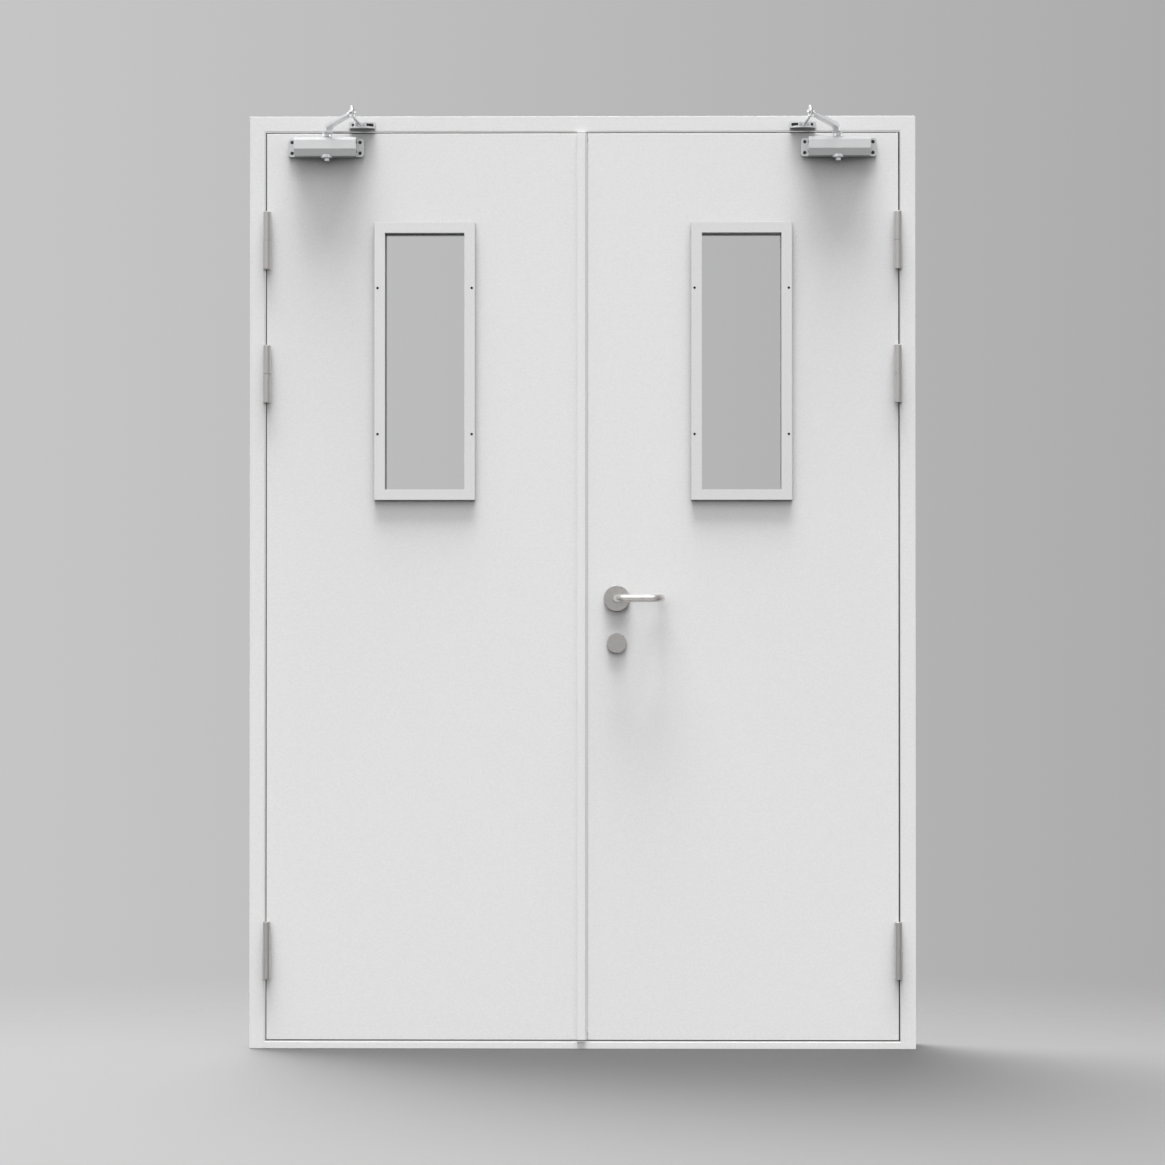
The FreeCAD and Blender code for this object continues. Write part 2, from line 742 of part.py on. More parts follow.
def makeArm(side, sign):
    """The main arm: a hub on the pinion and a forged bar cranked up over the leaf's top edge."""
    body = makeBody(f"{side}_closer_arm")
    across = f"({pinionX} - {elbowX})"
    along = f"({elbowY} - {pinionY})"
    span = length(across, along)
    profile = makeSketch(body, "XZ_Plane")
    polygon(profile, [
        ("-armFoot", "0"),
        ("armFoot", "0"),
        ("armKneeReach", "armKneeRise"),
        ("armBellyReach", "armKneeRise"),
        ("armNeckReach", "elbowRise"),
        (span, "elbowRise"),
        (span, "elbowRise + elbowEyeHeight"),
        ("armBackReach", "armBackRise"),
        ("armHeelReach", "armHeelRise"),
    ])
    bar = pad(body, profile, "armWidth", middle=True)
    bends = [
        (sized("armKneeReach"), sized("armKneeRise")),
        (sized("armBackReach"), sized("armBackRise")),
        (sized("armHeelReach"), sized("armHeelRise")),
    ]
    width = sized("armWidth")
    reach = math.hypot(
        sized("elbowFromHinge") - sized("pinionFromHinge"),
        sized("elbowReach") - sized("pinionReach"),
    )

    def bendEdge(edge):
        at = edge.CenterOfMass
        return edge.BoundBox.YLength > width * 0.9 and any(
            abs(at.x - x) < nearby and abs(at.z - z) < nearby for x, z in bends
        )
    bent = dress(body, "Fillet", bar, "armBendRadius", bendEdge)

    def sideEdge(edge):
        onSide = abs(abs(edge.CenterOfMass.y) - width / 2) < nearby
        box = edge.BoundBox
        return onSide and box.ZMin > nearby and box.XMin > sized("armHeelReach") and box.XMax < reach - nearby
    dress(body, "Chamfer", bent, "armEdgeChamfer", sideEdge)
    hub = makeSketch(body, "XY_Plane")
    circle(hub, "0", "0", "armHubRadius")
    pad(body, hub, "armHubHeight")
    eye = makeSketch(body, "XY_Plane", "elbowRise")
    circle(eye, span, "0", "elbowEyeRadius")
    pad(body, eye, "elbowEyeHeight")
    flange = makeSketch(body, "XY_Plane", "elbowRise + elbowEyeHeight")
    circle(flange, span, "0", "elbowFlangeRadius")
    pad(body, flange, "elbowFlangeHeight", reverse=True)
    bolt = makeSketch(body, "XY_Plane", "elbowRise + elbowEyeHeight")
    circle(bolt, span, "0", "elbowBoltRadius")
    pad(body, bolt, "elbowBoltRise")
    turn = f"atan2({along}; {-sign} * {across})"
    place(body, f"{sign} * {pinionX}", pinionY, armBase, turn)


def makeRod(side, sign):
    """The forearm: an eye on the shoe's pin, a sleeve with its lock nut, a thin rod and the elbow's boss."""
    body = makeBody(f"{side}_closer_rod")
    across = f"({elbowX} - {shoeX})"
    along = f"({elbowY} - {shoeY})"
    span = length(across, along)
    for middle, radius in (("0", "rodEyeRadius"), (span, "rodBossRadius")):
        eye = makeSketch(body, "XY_Plane", "-rodEyeHeight / 2")
        circle(eye, middle, "0", radius)
        pad(body, eye, "rodEyeHeight")
    shaft = makeSketch(body, "YZ_Plane")
    circle(shaft, "0", "0", "rodRadius")
    pad(body, shaft, span)
    sleeve = makeSketch(body, "YZ_Plane", "rodSleeveStart")
    circle(sleeve, "0", "0", "rodSleeveRadius")
    pad(body, sleeve, "rodSleeveEnd - rodSleeveStart")
    nut = makeSketch(body, "YZ_Plane", "rodSleeveEnd")
    corners = [
        (f"rodNutSide * cos({60 * step})", f"rodNutSide * sin({60 * step})")
        for step in range(6)
    ]
    polygon(nut, corners)
    pad(body, nut, "rodNutLength")
    hole = makeSketch(body, "XY_Plane", "rodEyeHeight / 2")
    circle(hole, "0", "0", "shoePinRadius + pinFit")
    pocket(body, hole, "rodEyeHeight")
    turn = f"atan2({along}; {sign} * {across})"
    place(body, f"{sign} * {shoeX}", shoeY, rodMiddle, turn)


def shoePlan(sketch, shift):
    """The shoe seen from above: flat on the frame, low at its ends and bowed out in the middle."""
    half, low = sized("shoeLength") / 2, sized("shoeEndDepth")
    bulge = sized("shoeMiddleDepth") - low
    radius = (half * half + bulge * bulge) / (2 * bulge)
    swing = math.asin(half / radius)
    offset = shift * sized("shoeShift")
    right, left = offset + half, offset - half
    corners = [V(right, 0, 0), V(left, 0, 0), V(left, -low, 0), V(right, -low, 0)]
    ring = Part.Circle(V(offset, radius - low - bulge, 0), V(0, 0, 1), radius)
    sketch.addGeometry(Part.LineSegment(corners[0], corners[1]), False)
    sketch.addGeometry(Part.LineSegment(corners[1], corners[2]), False)
    sketch.addGeometry(Part.ArcOfCircle(ring, -math.pi / 2 - swing, -math.pi / 2 + swing), False)
    sketch.addGeometry(Part.LineSegment(corners[3], corners[0]), False)
    sketch.addConstraint([
        Sketcher.Constraint("Coincident", step, 2, (step + 1) % 4, 1)
        for step in range(4)
    ])
    across = (f"{shift} * shoeShift + shoeLength / 2", f"{shift} * shoeShift - shoeLength / 2")
    spots = [(across[0], "0"), (across[1], "0"), (across[1], "-shoeEndDepth"), (across[0], "-shoeEndDepth")]
    for item, (x, y) in enumerate(spots):
        fix(sketch, "DistanceX", item, 1, x, corners[item].x)
        fix(sketch, "DistanceY", item, 1, y, corners[item].y)
    rise = "(shoeMiddleDepth - shoeEndDepth)"
    centre = f"(shoeLength * shoeLength / 4 + {rise} * {rise}) / (2 * {rise}) - shoeMiddleDepth"
    fix(sketch, "DistanceY", 2, 3, centre, radius - low - bulge)


def makeShoe(side, sign):
    """The bracket on the head: a bowed block, hollowed from above for the rod's eye, with its pin."""
    body = makeBody(f"{side}_closer_shoe")
    centre = f"({-sign} * shoeShift)"
    plan = makeSketch(body, "XY_Plane", "shoeRise")
    shoePlan(plan, -sign)
    pad(body, plan, "shoeHeight", middle=True)
    top = "(shoeRise + shoeHeight / 2)"
    slot = makeSketch(body, "XY_Plane", top)
    rectangle(
        slot,
        ("-shoeSlotWidth / 2", "-shoeMiddleDepth - shoePlay"),
        ("shoeSlotWidth / 2", "-shoeSlotBack"),
    )
    pocket(body, slot, f"{top} + rodEyeHeight / 2 + shoePlay")
    holes = makeSketch(body, "XZ_Plane")
    circle(holes, f"{centre} + {sign} * shoeHoleReach", "shoeRise", "shoeHoleRadius")
    reach = f"{centre} - {sign} * shoeSlotReach"
    half = "(shoeSlotLength / 2)"
    rectangle(
        holes,
        (f"{reach} - {half}", "shoeRise - shoeHoleRadius"),
        (f"{reach} + {half}", "shoeRise + shoeHoleRadius"),
    )
    pocket(body, holes)
    pin = makeSketch(body, "XY_Plane")
    circle(pin, "0", "-shoePivotReach", "shoePinRadius")
    pad(body, pin, "rodEyeHeight + 4 * shoePlay", middle=True)
    place(body, f"{sign} * {shoeX}", front, rodMiddle)


# Lever handles and lock furniture on the right leaf


def leverPath(sketch, way):
    """Out of the leaf, along it and back towards it, with round bends."""
    bend, reach, long = sized("leverBend"), sized("leverReach"), sized("leverLength")
    shoulder = way * (reach - bend)
    quarter = math.pi / 2
    if way < 0:
        first, last = (2 * quarter, 3 * quarter), (3 * quarter, 4 * quarter)
        enter, leave = 1, 2
    else:
        first, last = (quarter, 2 * quarter), (0, quarter)
        enter, leave = 2, 1
    nearBend = Part.Circle(V(bend, shoulder, 0), V(0, 0, 1), bend)
    farBend = Part.Circle(V(long - bend, shoulder, 0), V(0, 0, 1), bend)
    sketch.addGeometry(Part.LineSegment(V(0, way, 0), V(0, shoulder, 0)), False)
    sketch.addGeometry(Part.ArcOfCircle(nearBend, *first), False)
    sketch.addGeometry(Part.LineSegment(V(bend, way * reach, 0), V(long - bend, way * reach, 0)), False)
    sketch.addGeometry(Part.ArcOfCircle(farBend, *last), False)
    sketch.addGeometry(Part.LineSegment(V(long, shoulder, 0), V(long, way, 0)), False)
    sketch.addConstraint([
        Sketcher.Constraint("Coincident", 0, 2, 1, enter),
        Sketcher.Constraint("Coincident", 1, leave, 2, 1),
        Sketcher.Constraint("Coincident", 2, 2, 3, enter),
        Sketcher.Constraint("Coincident", 3, leave, 4, 1),
    ])
    turn = f"{way} * (leverReach - leverBend)"
    fix(sketch, "DistanceX", 0, 1, "0", 0)
    fix(sketch, "DistanceY", 0, 1, f"{way} * leverStart", way)
    fix(sketch, "DistanceX", 0, 2, "0", 0)
    fix(sketch, "DistanceY", 0, 2, turn, shoulder)
    fix(sketch, "DistanceX", 1, 3, "leverBend", bend)
    fix(sketch, "DistanceY", 1, 3, turn, shoulder)
    fix(sketch, "DistanceX", 2, 1, "leverBend", bend)
    fix(sketch, "DistanceX", 2, 2, "leverLength - leverBend", long - bend)
    fix(sketch, "DistanceY", 2, 2, f"{way} * leverReach", way * reach)
    fix(sketch, "DistanceX", 3, 3, "leverLength - leverBend", long - bend)
    fix(sketch, "DistanceY", 3, 3, turn, shoulder)
    fix(sketch, "DistanceY", 4, 1, turn, shoulder)
    fix(sketch, "DistanceX", 4, 2, "leverLength", long)
    fix(sketch, "DistanceY", 4, 2, f"{way} * leverEndGap", way)


def makeLever(face, way):
    """A round bar bent into a lever; the front one carries the square spindle."""
    body = makeBody(f"lever_{face}")
    path = makeSketch(body, "XY_Plane")
    leverPath(path, way)
    ring = makeSketch(body, "XZ_Plane", f"{-way} * leverStart")
    circle(ring, "0", "0", "leverRadius")
    doc.recompute()
    tube = body.newObject("PartDesign::AdditivePipe", body.Name + "_tube")
    tube.Profile = ring
    tube.Spine = (path, ["Edge1", "Edge2", "Edge3", "Edge4", "Edge5"])
    square = makeSketch(body, "XZ_Plane", f"{-way} * leverStart")
    if face == "front":
        half = "(spindleSide / 2)"
        rectangle(square, (f"-{half}", f"-{half}"), (half, half))
        pad(body, square, "leverStart + leafThickness + spindleSocket", reverse=True)
        place(body, "spindleFromMiddle", front, "leverHeight")
    else:
        half = "(spindleSide / 2 + spindleFit)"
        rectangle(square, (f"-{half}", f"-{half}"), (half, half))
        pocket(body, square, "spindleSocket + spindleFit", reverse=False)
        place(body, "spindleFromMiddle", leafBack, "leverHeight")


def makeDiscs(name, up, radius, depth, bore=None):
    """A pair of round plates, one on each face of the leaf."""
    shapes = []
    for edge, way in ((-sized("frameDepth") / 2, -1), (-sized("frameDepth") / 2 + sized("leafThickness"), 1)):
        foot = V(sized("spindleFromMiddle"), edge, up)
        disc = Part.makeCylinder(radius, depth, foot, V(0, way, 0))
        rim = [ring for ring in disc.Edges if abs(ring.CenterOfMass.y - edge - way * depth) < nearby]
        disc = disc.makeChamfer(sized("discChamfer"), rim)
        if bore:
            disc = disc.cut(Part.makeCylinder(bore, depth, foot, V(0, way, 0)))
        shapes.append(disc)
    piece = doc.addObject("Part::Feature", name)
    piece.Label = name
    piece.Shape = Part.makeCompound(shapes)
    return piece


def makeFaceplate():
    body = makeBody("lock_faceplate")
    outline = makeSketch(body, "XY_Plane", f"{faceplateMiddle} - faceplateLength / 2")
    polygon(outline, facePlate("0"))
    pad(body, outline, "faceplateLength")
    place(body)


sides = (("left", -1), ("right", 1))
makeHead()
makeThreshold()
makeSmokeSeal()
makeStopGasket()
makeMeetingStrip()
makeMeetingSeal()
for side, sign in sides:
    makeJamb(side, sign)
    makeCore(side, sign)
    makeFrontSkin(side, sign)
    makeBackSkin(side, sign)
    makeGlass(side, sign)
    makeBezel(side, sign, "front")
    makeBezel(side, sign, "back")
    for level in ("top", "middle", "bottom"):
        makeHingeHalves(side, sign, level)
    makeCloser(side, sign)
    makeArm(side, sign)
    makeRod(side, sign)
    makeShoe(side, sign)
makeLever("front", -1)
makeLever("back", 1)
makeDiscs(
    "lever_roses",
    sized("leverHeight"),
    sized("roseRadius"),
    sized("roseDepth"),
    sized("leverRadius") + sized("roseFit"),
)
makeDiscs(
    "lock_escutcheons",
    sized("leverHeight") - sized("escutcheonDrop"),
    sized("escutcheonRadius"),
    sized("escutcheonDepth"),
)
makeFaceplate()
doc.recompute()

pieces = {}
for item in doc.Objects:
    if {"Invalid", "Error"} & set(item.State):
        raise SystemExit(f"{item.Name} is in state {item.State}")
    if item.TypeId in ("PartDesign::Body", "Part::Feature"):
        shape = item.Shape
        if shape.isNull() or not shape.isValid():
            raise SystemExit(f"{item.Name} has no valid shape")
        pieces[item.Label] = shape

os.makedirs("parts", exist_ok=True)
for name, shape in pieces.items():
    shape.exportStep(f"parts/{name}.step")
    print(name, len(shape.Solids), round(shape.Volume))
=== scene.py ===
import json
import math
import bmesh
import bpy
from mathutils import Matrix, Vector


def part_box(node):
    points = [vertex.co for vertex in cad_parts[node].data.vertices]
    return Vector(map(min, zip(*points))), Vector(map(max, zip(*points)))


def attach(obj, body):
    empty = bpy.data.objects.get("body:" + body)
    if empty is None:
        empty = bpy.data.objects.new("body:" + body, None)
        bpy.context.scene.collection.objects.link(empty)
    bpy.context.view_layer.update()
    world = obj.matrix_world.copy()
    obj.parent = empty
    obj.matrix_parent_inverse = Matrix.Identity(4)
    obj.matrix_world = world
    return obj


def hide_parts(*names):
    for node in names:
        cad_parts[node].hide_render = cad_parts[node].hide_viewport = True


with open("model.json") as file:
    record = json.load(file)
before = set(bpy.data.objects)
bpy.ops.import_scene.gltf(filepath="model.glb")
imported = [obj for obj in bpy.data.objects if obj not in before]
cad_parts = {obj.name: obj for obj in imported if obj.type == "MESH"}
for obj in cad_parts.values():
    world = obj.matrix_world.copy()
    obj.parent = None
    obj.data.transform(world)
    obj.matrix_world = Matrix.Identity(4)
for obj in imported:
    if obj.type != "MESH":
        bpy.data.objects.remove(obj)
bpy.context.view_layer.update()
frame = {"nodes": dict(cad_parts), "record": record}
print("frame loaded:", len(frame["nodes"]), "nodes")

# Camera, fitted to the frame's corners, the windows and the closers' elbows

view = {
    "spot": (0.0931, -7.975, 0.980),    # metres
    "turn": 0.0117,                     # radians to the left
    "tilt": 0.0087,                     # radians up from level
    "lens": 108.65,                     # millimetres
    "film": 36.0,
}


def makeCamera():
    data = bpy.data.cameras.new("studioCamera")
    data.lens = view["lens"]
    data.sensor_width = view["film"]
    camera = bpy.data.objects.new("studioCamera", data)
    camera.location = view["spot"]
    camera.rotation_euler = (math.radians(90) + view["tilt"], 0, view["turn"])
    bpy.context.scene.collection.objects.link(camera)
    bpy.context.scene.camera = camera
    bpy.context.scene.view_settings.view_transform = "Standard"


# Studio: an even dome over a floor that fades out, and lamps that each light one group of pieces

studio = {
    "lamps": {
        # strength, compass (0 from the front, 90 from the right), height and spread in degrees, what it lights
        "overheadLight": (4.4, -10, 84, 14, "door"),
        "overheadLeft": (2.3, -66, 75, 16, "door"),
        "overheadRight": (2.2, 62, 75, 16, "door"),
        "broadLight": (1.2, -10, 64, 40, "door"),
        "trimLight": (1.1, -10, 14, 12, "trim"),
        "hardwareLight": (0.95, -14, 54, 60, "hardware"),
        "hardwareLow": (0.42, 0, -45, 70, "hardware"),
        "lowLight": (1.05, -20, -24, 60, "closer"),
        "leftPanel": (0.48, -50, 4, 40, "closer"),
        "rightPanel": (0.44, 50, 4, 40, "closer"),
        "edgeLight": (0.44, -10, 66, 8, "closer"),
        "armLight": (1.5, -25, 42, 50, "arm"),
        "armLow": (0.5, 20, -35, 60, "arm"),
        "armLeft": (0.16, -134, 8, 50, "arm"),
        "armRight": (0.16, 134, 8, 50, "arm"),
        "armFrontLeft": (0.5, -84, -4, 26, "arm"),
        "armFrontRight": (0.5, 84, -4, 26, "arm"),
        "backLight": (1.0, -150, 50, 40, "all"),
        "floorLight": (3.6, -147, 60, 44, "floor"),
    },
    "shadedByItself": ("arm", "hardware"),    # only the group's own pieces stop the light of its lamps
    "domeUp": 0.815,             # the dome's strength above and below the horizon
    "domeDown": 0.0,
    "domeBand": 0.04,            # half the height over which it changes
    "backdropLeft": 0.56,        # the grey behind the door, at both ends of its reach
    "backdropRight": 0.405,
    "backdropReach": 0.17,
    "glossBelow": 0.15,          # the backdrop's share that metal mirrors from below,
    "glossBand": (-0.4, -0.05),  # and the heights between which that comes in
    "floorLeft": 0.31,           # the floor's grey at both ends of its reach; the darker right end is painted shade
    "floorShadedRight": 0.265,
    "floorReach": 1.25,
    "floorBounce": 0.02,         # the grey that it throws back, and that metal mirrors
    "floorGloss": 0.10,
    "floorRoughness": 0.9,
    "floorSpecular": 0.1,
    "floorRadius": 9.0,
    "floorSides": 96,
    "floorMiddle": -2.2,         # its middle is this far in front of the door
    "floorDrop": 0.0005,         # how far it lies under the threshold
    "fadeStart": 2.1,            # distances from the floor's middle between which it fades out
    "fadeEnd": 4.0,
}
lightGroups = {    # plain pieces have the dome and the back light alone
    name: bpy.data.collections.new(name + "Group")
    for name in ("door", "trim", "plain", "closer", "arm", "hardware", "floor")
}
lightWords = {    # the first word found in a piece's name gives its group, and the rest are lit as the door
    "_arm": "arm", "_rod": "arm", "closer": "closer", "shoe": "closer", "bezel_screws": "plain",
    "bezel": "trim", "seal": "trim", "roses": "plain", "escutcheons": "plain", "hinge": "hardware",
    "lever": "hardware", "glass": "hardware", "core": "hardware", "gasket": "hardware",
}


def addToGroup(name, item):
    group = next((group for word, group in lightWords.items() if word in name), "door")
    lightGroups[group].objects.link(item)


def makeLamps(floor):
    lightGroups["floor"].objects.link(floor)
    for node, item in frame["nodes"].items():
        addToGroup(node, item)
    for name, (strength, compass, height, spread, target) in studio["lamps"].items():
        data = bpy.data.lights.new(name, "SUN")
        data.energy = strength
        data.angle = math.radians(spread)
        lamp = bpy.data.objects.new(name, data)
        around, up = math.radians(compass), math.radians(height)
        source = Vector((math.sin(around) * math.cos(up), -math.cos(around) * math.cos(up), math.sin(up)))
        lamp.rotation_euler = source.to_track_quat("Z", "Y").to_euler()
        bpy.context.scene.collection.objects.link(lamp)
        if target in lightGroups:
            lamp.light_linking.receiver_collection = lightGroups[target]
        if target in studio["shadedByItself"]:
            lamp.light_linking.blocker_collection = lightGroups[target]


def addNode(tree, kind, **values):
    node = tree.nodes.new("ShaderNode" + kind)
    for name, value in values.items():
        if hasattr(node, name):
            setattr(node, name, value)
        else:
            node.inputs[name.replace("_", " ")].default_value = value
    return node


def feed(tree, socket, value):    # sets a number or colour, and links anything else
    if isinstance(value, (int, float, tuple)):
        socket.default_value = value
    else:
        tree.links.new(value, socket)


def addMath(tree, operation, *values, clamp=False):
    node = addNode(tree, "Math", operation=operation, use_clamp=clamp)
    for place, value in enumerate(values):
        feed(tree, node.inputs[place], value)
    return node.outputs[0]


def addRange(tree, value, given, wanted, curve="LINEAR"):    # turns one range of values into another
    node = addNode(tree, "MapRange", interpolation_type=curve)
    tree.links.new(value, node.inputs["Value"])
    for place, end in enumerate((*given, *wanted), 1):
        feed(tree, node.inputs[place], end)
    return node.outputs[0]


def mixShaders(tree, share, first, second):
    mix = addNode(tree, "MixShader")
    for place, value in enumerate((share, first.outputs[0], second.outputs[0])):
        tree.links.new(value, mix.inputs[place])
    return mix.outputs[0]


def startMaterial(name, **values):
    material = bpy.data.materials.new(name)
    material.use_nodes = True
    shader = material.node_tree.nodes["Principled BSDF"]
    for label, value in values.items():
        shader.inputs[label.replace("_", " ")].default_value = value
    return material, material.node_tree, shader


def makeWorld():    # the camera, metal and glass see the backdrop, and the dome lights the rest
    world = bpy.data.worlds.new("studioWorld")
    world.use_nodes = True
    bpy.context.scene.world = world
    tree = world.node_tree
    tree.nodes.clear()
    split = addNode(tree, "SeparateXYZ")
    tree.links.new(addNode(tree, "TexCoord").outputs["Generated"], split.inputs[0])
    path = addNode(tree, "LightPath")

    reach = studio["backdropReach"]
    greys = (studio["backdropLeft"], studio["backdropRight"])
    below = addRange(tree, split.outputs["Z"], studio["glossBand"], (1 - studio["glossBelow"], 0.0))
    dimmed = addMath(tree, "MULTIPLY", below, path.outputs["Is Glossy Ray"])
    seen = addNode(tree, "Background")
    tree.links.new(addRange(tree, split.outputs["X"], (-reach, reach), greys), seen.inputs["Color"])
    tree.links.new(addMath(tree, "SUBTRACT", 1.0, dimmed), seen.inputs["Strength"])

    band = studio["domeBand"]
    height = addRange(tree, split.outputs["Z"], (-band, band), (studio["domeDown"], studio["domeUp"]))
    dome = addNode(tree, "Background", Color=(1, 1, 1, 1))
    tree.links.new(height, dome.inputs["Strength"])

    shown = addMath(tree, "MAXIMUM", path.outputs["Is Camera Ray"], path.outputs["Is Glossy Ray"])
    shown = addMath(tree, "MAXIMUM", shown, path.outputs["Is Transmission Ray"])
    tree.links.new(mixShaders(tree, shown, dome, seen), addNode(tree, "OutputWorld").inputs["Surface"])


def makeFloor():
    mesh = bpy.data.meshes.new("studioFloor")
    form = bmesh.new()
    bmesh.ops.create_circle(form, cap_ends=True, segments=studio["floorSides"], radius=studio["floorRadius"])
    form.to_mesh(mesh)
    form.free()
    floor = bpy.data.objects.new("studioFloor", mesh)
    floor.location = (0, studio["floorMiddle"], -studio["floorDrop"])
    bpy.context.scene.collection.objects.link(floor)
    material, tree, shader = startMaterial(
        "studioFloor", Roughness=studio["floorRoughness"], Specular_IOR_Level=studio["floorSpecular"])
    path = addNode(tree, "LightPath")
    where = addNode(tree, "TexCoord").outputs["Object"]
    split = addNode(tree, "SeparateXYZ")
    tree.links.new(where, split.inputs[0])

    reach = studio["floorReach"]
    greys = (studio["floorLeft"], studio["floorShadedRight"])
    # the floor is painted darker towards the right: painted shade
    tone = addRange(tree, split.outputs["X"], (-reach, reach), greys)
    tone = addRange(tree, path.outputs["Is Diffuse Ray"], (0, 1), (tone, studio["floorBounce"]))
    tone = addRange(tree, path.outputs["Is Glossy Ray"], (0, 1), (tone, studio["floorGloss"]))
    tree.links.new(tone, shader.inputs["Base Color"])

    far = addNode(tree, "VectorMath", operation="LENGTH")
    tree.links.new(where, far.inputs[0])
    ends = (studio["fadeStart"], studio["fadeEnd"])
    fade = addRange(tree, far.outputs["Value"], ends, (0, 1), "SMOOTHSTEP")
    faded = mixShaders(tree, fade, shader, addNode(tree, "BsdfTransparent"))
    tree.links.new(faded, tree.nodes["Material Output"].inputs["Surface"])
    floor.data.materials.append(material)
    return floor


makeCamera()
makeWorld()
makeLamps(makeFloor())
print("studio ready:", len(studio["lamps"]), "lamps")

# Effects that several finishes share. A noise has its scale, detail and roughness


def startGroup(name, inputs, outputs):
    group = bpy.data.node_groups.new(name, "ShaderNodeTree")
    for label, (kind, value) in inputs.items():
        socket = group.interface.new_socket(name=label, in_out="INPUT", socket_type="NodeSocket" + kind)
        socket.default_value = value
    for label, kind in outputs.items():
        group.interface.new_socket(name=label, in_out="OUTPUT", socket_type="NodeSocket" + kind)
    return group, group.nodes.new("NodeGroupInput"), group.nodes.new("NodeGroupOutput")


def addNoise(tree, where, scale, detail, roughness):
    noise = addNode(tree, "TexNoise", Scale=scale, Detail=detail, Roughness=roughness)
    tree.links.new(where, noise.inputs["Vector"])
    return noise.outputs["Fac"]


def addSwing(tree, where, noise):    # the same noise, above and below nought
    return addMath(tree, "SUBTRACT", addNoise(tree, where, *noise), 0.5)


def addTint(tree, tone, share):    # a colour made lighter or darker by a share
    tint = addNode(tree, "VectorMath", operation="SCALE")
    tree.links.new(tone, tint.inputs[0])
    tree.links.new(addMath(tree, "ADD", share, 1.0), tint.inputs["Scale"])
    return tint.outputs[0]


coatValues = {
    "fleck": (300, 3, 0.5),
    "drift": (2.2, 3, 0.5),
    "peel": (700, 2, 0.5),
    "glossDrift": 0.12,
}


def makeCoatGrain():    # powder coat: fine flecks, a slow drift of tone and an orange-peel surface
    group, given, out = startGroup(
        "coatGrain",
        {"Tone": ("Color", (0.8, 0.8, 0.8, 1)), "Fleck": ("Float", 0.03), "Drift": ("Float", 0.015),
         "Gloss": ("Float", 0.4)},
        {"Color": "Color", "Roughness": "Float", "Height": "Float"},
    )
    where = addNode(group, "TexCoord").outputs["Object"]
    slow = addSwing(group, where, coatValues["drift"])
    fleck = addMath(group, "MULTIPLY", addSwing(group, where, coatValues["fleck"]), given.outputs["Fleck"])
    drift = addMath(group, "MULTIPLY", slow, given.outputs["Drift"])
    tint = addTint(group, given.outputs["Tone"], addMath(group, "ADD", fleck, drift))
    spread = addMath(group, "MULTIPLY", slow, coatValues["glossDrift"])
    group.links.new(tint, out.inputs["Color"])
    group.links.new(addMath(group, "ADD", given.outputs["Gloss"], spread), out.inputs["Roughness"])
    group.links.new(addNoise(group, where, *coatValues["peel"]), out.inputs["Height"])
    return group


edgeValues = {"samples": 6, "contrast": 4.0}


def makeSoftEdge():    # rounds the light over sharp edges and marks where they are, for the painted highlight laid along them
    group, given, out = startGroup(
        "softEdge", {"Radius": ("Float", 0.001)}, {"Normal": "Vector", "Edge": "Float"})
    bevel = addNode(group, "Bevel", samples=edgeValues["samples"])
    group.links.new(given.outputs["Radius"], bevel.inputs["Radius"])
    turn = addNode(group, "VectorMath", operation="DOT_PRODUCT")
    group.links.new(bevel.outputs[0], turn.inputs[0])
    group.links.new(addNode(group, "NewGeometry").outputs["True Normal"], turn.inputs[1])
    turned = addMath(group, "SUBTRACT", 1.0, turn.outputs["Value"])
    edgeHighlightShare = addMath(group, "MULTIPLY", turned, edgeValues["contrast"], clamp=True)
    group.links.new(bevel.outputs[0], out.inputs["Normal"])
    group.links.new(edgeHighlightShare, out.inputs["Edge"])
    return group


brushValues = {"streak": (60, 4, 0.6)}


def makeBrushing():    # fine streaks left by the abrasive, drawn out along one direction
    group, given, out = startGroup(
        "brushing",
        {"Stretch": ("Vector", (1, 1, 1)), "Tone": ("Color", (0.6, 0.6, 0.6, 1)), "Depth": ("Float", 0.15),
         "Gloss": ("Float", 0.3)},
        {"Color": "Color", "Roughness": "Float", "Height": "Float"},
    )
    drawn = addNode(group, "VectorMath", operation="MULTIPLY")
    group.links.new(addNode(group, "TexCoord").outputs["Object"], drawn.inputs[0])
    group.links.new(given.outputs["Stretch"], drawn.inputs[1])
    streak = addSwing(group, drawn.outputs[0], brushValues["streak"])
    depth = addMath(group, "MULTIPLY", streak, given.outputs["Depth"])
    group.links.new(addTint(group, given.outputs["Tone"], depth), out.inputs["Color"])
    group.links.new(addMath(group, "ADD", given.outputs["Gloss"], depth), out.inputs["Roughness"])
    group.links.new(streak, out.inputs["Height"])
    return group


handlingValues = {
    "smear": (14, 4, 0.65),
    "smearBand": (0.5, 0.72),    # values of the noise between which a smear comes in
    "patch": (55, 5, 0.7),
    "patchLift": 0.25,
    "settling": 3.0,             # how fast the dust gets thinner as a face tilts
}


